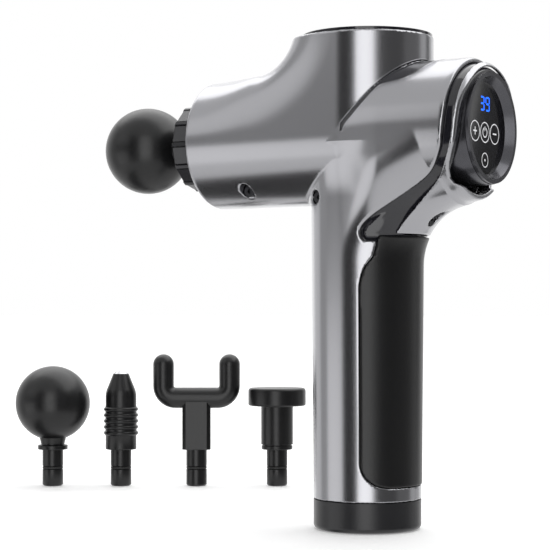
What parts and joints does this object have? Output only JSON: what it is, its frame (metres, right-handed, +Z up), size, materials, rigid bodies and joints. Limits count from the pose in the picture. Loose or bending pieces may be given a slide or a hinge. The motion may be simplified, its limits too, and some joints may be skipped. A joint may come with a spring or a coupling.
{
  "type": "massage gun",
  "caption": "Cordless percussive massage gun: barrel with ball head, upright motor housing, gripped battery handle, round rear display, spare heads standing beside it.",
  "frame": {"origin": "centre of the flat bottom face of the base cap", "axes": "+Z up along the handle, -X along the barrel towards the fitted head, +X towards the display"},
  "size_m": [0.3552, 0.204, 0.24],
  "materials": {
    "shell_paint": "gloss metallic",
    "groove_black": "gloss",
    "head_black": "satin",
    "grip_rubber": "matte",
    "base_grey": "satin",
    "rim_dark": "gloss",
    "screen": "gloss",
    "led_blue": "lit",
    "icon_white": "satin",
    "led_white": "matte",
    "board": "satin",
    "steel": "ground",
    "screw_steel": "black oxide",
    "alloy": "cast",
    "can_steel": "satin",
    "magnet": "satin",
    "copper": "enamelled wire",
    "brass": "machined",
    "nickel": "bright",
    "cell_wrap": "gloss",
    "holder": "matte",
    "seal_rubber": "matte",
    "switch_red": "gloss",
    "black_plastic": "satin",
    "wire_red": "satin",
    "wire_yellow": "satin",
    "cable_white": "satin"
  },
  "bodies": {
    "housing": {"left_shell": "shell_paint", "right_shell": "shell_paint", "rear_cover": "shell_paint", "groove_trim": "groove_black", "turret_cap": "groove_black", "nose_collar": "groove_black", "rubber_grip": "grip_rubber", "base_cap": "base_grey", "display_barrel": "rim_dark", "display_bezel": "rim_dark", "display_lens": "screen", "led_digits": "led_blue", "touch_icons": "icon_white", "led_module": "led_white", "display_board": "board", "driver_board": "board", "stator_core": "can_steel", "stator_coils": "copper", "motor_mount": "alloy", "motor_bearings": "steel", "guide_sleeve": "brass", "dust_seal": "seal_rubber", "drive_housing": "alloy", "damper_rings": "seal_rubber", "motor_screws": "screw_steel", "shell_screws": "screw_steel", "cover_screw": "screw_steel", "battery_cells": "cell_wrap", "battery_holders": "holder", "nickel_strips": "nickel", "charge_board": "board", "rocker_housing": "black_plastic", "charge_jack": "black_plastic", "battery_leads": "wire_red", "motor_leads": "wire_yellow", "display_cable": "cable_white"},
    "rotor": {"rotor_can": "can_steel", "rotor_magnets": "magnet", "motor_shaft": "steel", "crank_disc": "brass", "crank_pin": "steel"},
    "rod": {"connecting_rod": "alloy", "crank_bearing": "steel"},
    "plunger_body": {"plunger": "alloy", "wrist_pin": "steel"},
    "fitted_head": {"ball_head": "head_black", "ball_head_ring": "seal_rubber"},
    "rocker": {"power_rocker": "switch_red"},
    "loose_ball": {"spare_ball": "head_black", "spare_ball_ring": "seal_rubber"},
    "loose_bullet": {"spare_bullet": "head_black", "spare_bullet_tip": "steel", "spare_bullet_ring": "seal_rubber"},
    "loose_fork": {"spare_fork": "head_black", "spare_fork_ring": "seal_rubber"},
    "loose_flat": {"spare_flat": "head_black", "spare_flat_ring": "seal_rubber"}
  },
  "joints": [
    {"name": "crank_spin", "type": "hinge", "parent": "housing", "child": "rotor", "pos_m": [0, 0, 0.1905], "axis": [0, 0, 1], "range_deg": [-90, 90]},
    {"name": "rod_swing", "type": "hinge", "parent": "rotor", "child": "rod", "pos_m": [0, -0.005, 0.1905], "axis": [0, 0, 1], "range_deg": [-90, 90]},
    {"name": "plunger_stroke", "type": "slide", "parent": "housing", "child": "plunger_body", "axis": [1, 0, 0], "range_m": [-0.005, 0.005]},
    {"name": "head_pull", "type": "slide", "parent": "plunger_body", "child": "fitted_head", "axis": [-1, 0, 0], "range_m": [0, 0.04]},
    {"name": "rocker_tilt", "type": "hinge", "parent": "housing", "child": "rocker", "pos_m": [-0.01, 0, 0.005], "axis": [0, -1, 0], "range_deg": [0, 16]},
    {"name": "ball_lift", "type": "slide", "parent": "housing", "child": "loose_ball", "axis": [0, 0, 1], "range_m": [0, 0.1]},
    {"name": "bullet_lift", "type": "slide", "parent": "housing", "child": "loose_bullet", "axis": [0, 0, 1], "range_m": [0, 0.1]},
    {"name": "fork_lift", "type": "slide", "parent": "housing", "child": "loose_fork", "axis": [0, 0, 1], "range_m": [0, 0.1]},
    {"name": "flat_lift", "type": "slide", "parent": "housing", "child": "loose_flat", "axis": [0, 0, 1], "range_m": [0, 0.1]}
  ],
  "couplings": [
    {"joint": "plunger_stroke", "follows": "crank_spin", "m_per_rad": 0.0031831},
    {"joint": "rod_swing", "follows": "crank_spin", "ratio": -1}
  ]
}
